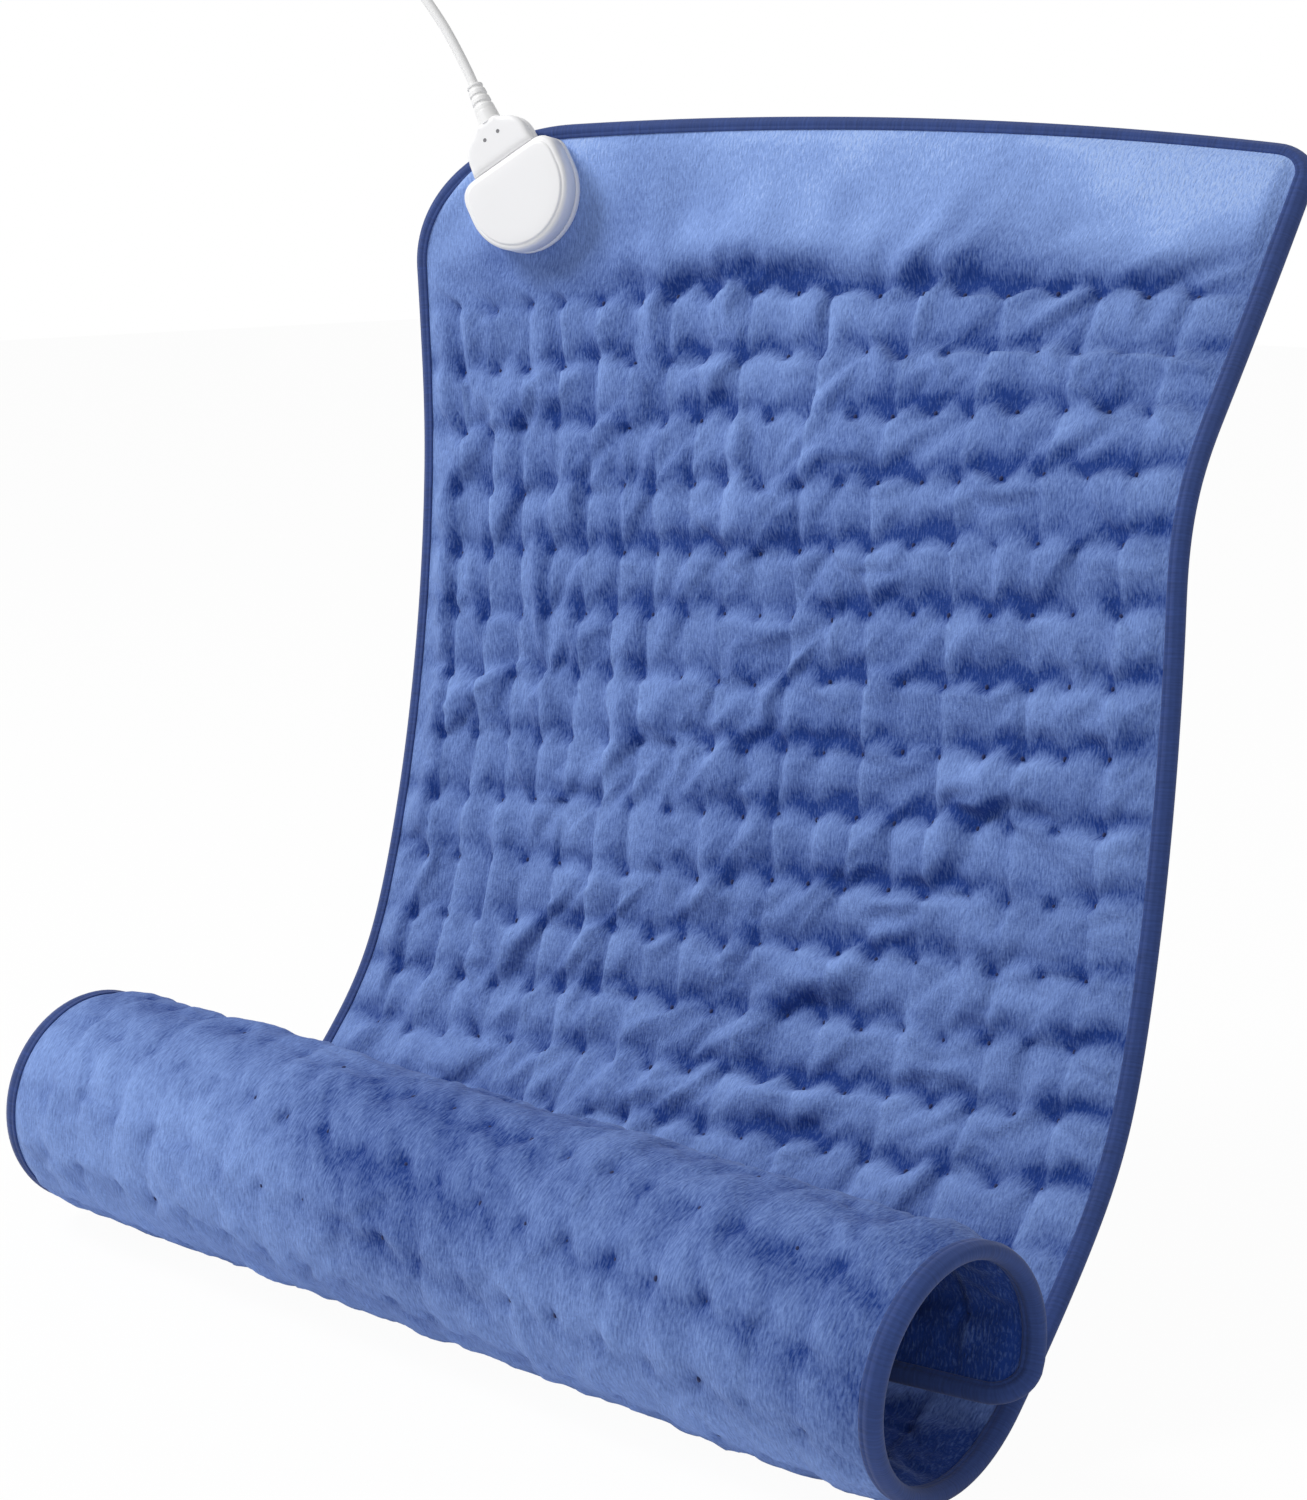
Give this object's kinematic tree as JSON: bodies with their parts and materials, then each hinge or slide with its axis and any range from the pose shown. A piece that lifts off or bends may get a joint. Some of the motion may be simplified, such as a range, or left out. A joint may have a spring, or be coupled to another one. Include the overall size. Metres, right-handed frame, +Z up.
{
  "type": "heating pad with hand controller",
  "caption": "Tufted plush heating pad stood up with its lower end rolled, with a plug-in lead, hand controller and coiled mains cord.",
  "frame": {"origin": "middle of the pad's top edge, where the pad is held up", "axes": "+X right along the pad's width as seen from the front, +Y towards the back, +Z up"},
  "size_m": [0.6975, 0.5796, 0.6126],
  "materials": {
    "plush": "soft short pile",
    "binding": "ribbed tape",
    "felt": "matte",
    "wire_sleeve": "matte",
    "white_shell": "satin",
    "white_cord": "satin",
    "dark_plastic": "matte",
    "steel": "satin",
    "board": "matte",
    "lens": "clear",
    "keys": "satin"
  },
  "bodies": {
    "pad": {"front_cover": "plush", "back_cover": "plush", "element_felt": "felt", "heating_wire": "wire_sleeve", "edge_binding": "binding", "dock_base": "white_shell", "dock_shell": "white_shell", "dock_terminal_block": "dark_plastic", "dock_pin_1": "steel", "dock_pin_2": "steel", "dock_pin_3": "steel", "thermal_fuse": "steel"},
    "lead": {"plug_upper_shell": "white_shell", "plug_lower_shell": "white_shell", "plug_tongue": "white_shell", "controller_back": "white_shell", "controller_front": "white_shell", "mains_plug_body": "white_shell", "plug_relief": "white_cord", "lead_cord": "white_cord", "inlet_relief": "white_cord", "outlet_relief": "white_cord", "mains_cord_start": "white_cord", "mains_cord_coil": "white_cord", "mains_cord_end": "white_cord", "mains_relief": "white_cord", "display_module": "dark_plastic", "key_switch_1": "dark_plastic", "key_switch_2": "dark_plastic", "key_switch_3": "dark_plastic", "key_switch_4": "dark_plastic", "cord_tie": "dark_plastic", "controller_screw_1": "steel", "controller_screw_2": "steel", "controller_screw_3": "steel", "controller_screw_4": "steel", "mains_blade_1": "steel", "mains_blade_2": "steel", "controller_board": "board", "display_lens": "lens"},
    "power_button": {"power_button": "keys"},
    "heat_down_button": {"heat_down_button": "keys"},
    "heat_up_button": {"heat_up_button": "keys"},
    "timer_button": {"timer_button": "keys"}
  },
  "joints": [
    {"name": "lead_unplug", "type": "slide", "parent": "pad", "child": "lead", "axis": [-0.5413, 0.0181, 0.8406], "range_m": [0, 0.012]},
    {"name": "power_press", "type": "slide", "parent": "lead", "child": "power_button", "axis": [0, 0, -1], "range_m": [0, 0.0012], "stiffness_N_per_m": 800},
    {"name": "heat_down_press", "type": "slide", "parent": "lead", "child": "heat_down_button", "axis": [0, 0, -1], "range_m": [0, 0.0012], "stiffness_N_per_m": 800},
    {"name": "heat_up_press", "type": "slide", "parent": "lead", "child": "heat_up_button", "axis": [0, 0, -1], "range_m": [0, 0.0012], "stiffness_N_per_m": 800},
    {"name": "timer_press", "type": "slide", "parent": "lead", "child": "timer_button", "axis": [0, 0, -1], "range_m": [0, 0.0012], "stiffness_N_per_m": 800}
  ]
}
